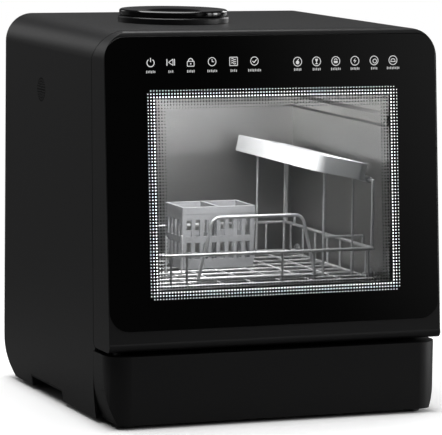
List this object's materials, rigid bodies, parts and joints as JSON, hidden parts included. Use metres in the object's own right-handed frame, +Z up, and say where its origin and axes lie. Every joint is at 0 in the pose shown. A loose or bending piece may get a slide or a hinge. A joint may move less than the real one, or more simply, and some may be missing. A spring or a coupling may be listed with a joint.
{
  "type": "countertop dishwasher",
  "caption": "Compact countertop dishwasher: black housing, drop-down glass door with a lit window, wire rack, cup shelf, water tank and a round filler on top.",
  "frame": {"origin": "on the table under the middle of the housing", "axes": "+Z up, the door faces -Y, +X to the right seen from the front"},
  "size_m": [0.42, 0.394, 0.4735],
  "materials": {
    "housing_plastic": "satin",
    "collar_plastic": "satin",
    "cap_plastic": "gloss",
    "door_glass": "gloss",
    "inner_glass": "gloss",
    "inner_steel": "brushed",
    "wire_steel": "bright",
    "shelf_plastic": "satin",
    "basket_plastic": "satin",
    "rail_plastic": "satin",
    "wheel_plastic": "satin",
    "dark_plastic": "matte",
    "grey_plastic": "satin",
    "pale_plastic": "satin",
    "tank_plastic": "translucent",
    "lamp_diffuser": "opal",
    "feet_rubber": "matte",
    "seal_rubber": "matte",
    "screw_steel": "zinc plated",
    "pin_steel": "ground",
    "bracket_steel": "zinc plated",
    "heater_steel": "satin",
    "board_laminate": "lacquered"
  },
  "bodies": {
    "housing": {"outer_shell": "housing_plastic", "rear_cover": "housing_plastic", "base_tray": "dark_plastic", "base_front_cover": "housing_plastic", "rubber_feet": "feet_rubber", "carry_grips": "dark_plastic", "case_screws": "screw_steel", "filler_collar": "collar_plastic", "filler_funnel": "dark_plastic", "water_tank": "tank_plastic", "tub": "inner_steel", "tub_posts": "dark_plastic", "rack_rails": "rail_plastic", "light_strip": "lamp_diffuser", "sump": "dark_plastic", "wash_pump": "dark_plastic", "drain_pump": "dark_plastic", "heater": "heater_steel", "spray_hub": "grey_plastic", "fan_housing": "dark_plastic", "inlet_connector": "pale_plastic", "drain_connector": "pale_plastic", "cord_gland": "dark_plastic", "hinge_arm_left": "bracket_steel", "hinge_arm_right": "bracket_steel", "latch_receiver": "dark_plastic"},
    "door": {"door_frame": "housing_plastic", "door_glass": "door_glass", "door_inner_panel": "inner_steel", "door_inner_glass": "inner_glass", "door_seal": "seal_rubber", "control_board": "board_laminate", "detergent_cup": "grey_plastic", "lid_pin": "pin_steel", "hinge_pins": "pin_steel", "latch_tongue": "bracket_steel"},
    "rack": {"rack_floor": "wire_steel", "rack_front": "wire_steel", "rack_back": "wire_steel", "rack_side_left": "wire_steel", "rack_side_right": "wire_steel", "plate_hoop": "wire_steel", "plate_tines": "wire_steel", "cup_shelf_frame": "wire_steel"},
    "wheel_fl": {"rack_wheel_fl": "wheel_plastic"},
    "wheel_fr": {"rack_wheel_fr": "wheel_plastic"},
    "wheel_rl": {"rack_wheel_rl": "wheel_plastic"},
    "wheel_rr": {"rack_wheel_rr": "wheel_plastic"},
    "cup_shelf": {"cup_shelf": "shelf_plastic"},
    "cutlery_basket": {"cutlery_basket": "basket_plastic"},
    "filler_cap": {"filler_cap": "cap_plastic", "cap_seal": "seal_rubber"},
    "filter": {"filter_basket": "grey_plastic"},
    "spray_arm": {"spray_arm": "grey_plastic", "spray_nut": "grey_plastic"},
    "impeller": {"wash_impeller": "pale_plastic"},
    "fan": {"fan_wheel": "dark_plastic"},
    "dispenser_lid": {"dispenser_lid": "grey_plastic"},
    "lock_bolt": {"lock_bolt": "pin_steel"}
  },
  "joints": [
    {"name": "door_hinge", "type": "hinge", "parent": "housing", "child": "door", "pos_m": [0, -0.18, 0.102], "axis": [1, 0, 0], "range_deg": [0, 90]},
    {"name": "rack_slide", "type": "slide", "parent": "housing", "child": "rack", "axis": [0, -1, 0], "range_m": [0, 0.09]},
    {"name": "wheel_fl_spin", "type": "hinge", "parent": "rack", "child": "wheel_fl", "pos_m": [-0.1585, -0.099, 0.1561], "axis": [1, 0, 0], "range_deg": [0, 644.6]},
    {"name": "wheel_fr_spin", "type": "hinge", "parent": "rack", "child": "wheel_fr", "pos_m": [0.1585, -0.099, 0.1561], "axis": [1, 0, 0], "range_deg": [0, 644.6]},
    {"name": "wheel_rl_spin", "type": "hinge", "parent": "rack", "child": "wheel_rl", "pos_m": [-0.1585, 0.125, 0.1561], "axis": [1, 0, 0], "range_deg": [0, 644.6]},
    {"name": "wheel_rr_spin", "type": "hinge", "parent": "rack", "child": "wheel_rr", "pos_m": [0.1585, 0.125, 0.1561], "axis": [1, 0, 0], "range_deg": [0, 644.6]},
    {"name": "cup_shelf_hinge", "type": "hinge", "parent": "rack", "child": "cup_shelf", "pos_m": [0.152, 0.013, 0.272], "axis": [0, 1, 0], "range_deg": [0, 55]},
    {"name": "basket_lift", "type": "slide", "parent": "rack", "child": "cutlery_basket", "axis": [0, 0, 1], "range_m": [0, 0.1]},
    {"name": "cap_lift", "type": "slide", "parent": "housing", "child": "filler_cap", "axis": [0, 0, 1], "range_m": [0, 0.045]},
    {"name": "filter_turn", "type": "hinge", "parent": "housing", "child": "filter", "pos_m": [0.062, 0.092, 0.1], "axis": [0, 0, 1], "range_deg": [0, 90]},
    {"name": "spray_arm_spin", "type": "hinge", "parent": "housing", "child": "spray_arm", "pos_m": [0, 0.012, 0.132], "axis": [0, 0, 1], "continuous": true},
    {"name": "impeller_spin", "type": "hinge", "parent": "housing", "child": "impeller", "pos_m": [0, -0.06, 0.092], "axis": [0, 1, 0], "continuous": true},
    {"name": "fan_spin", "type": "hinge", "parent": "housing", "child": "fan", "pos_m": [-0.19, 0.057, 0.374], "axis": [1, 0, 0], "continuous": true},
    {"name": "dispenser_lid_hinge", "type": "hinge", "parent": "door", "child": "dispenser_lid", "pos_m": [0.06, -0.1436, 0.1472], "axis": [1, 0, 0], "range_deg": [0, 90]},
    {"name": "lock_bolt_slide", "type": "slide", "parent": "housing", "child": "lock_bolt", "axis": [0, 0, -1], "range_m": [0, 0.007]}
  ],
  "couplings": [
    {"joint": "rack_slide", "follows": "door_hinge", "m_per_rad": 0.057296},
    {"joint": "wheel_fl_spin", "follows": "door_hinge", "ratio": 7.162},
    {"joint": "wheel_fr_spin", "follows": "door_hinge", "ratio": 7.162},
    {"joint": "wheel_rl_spin", "follows": "door_hinge", "ratio": 7.162},
    {"joint": "wheel_rr_spin", "follows": "door_hinge", "ratio": 7.162}
  ]
}
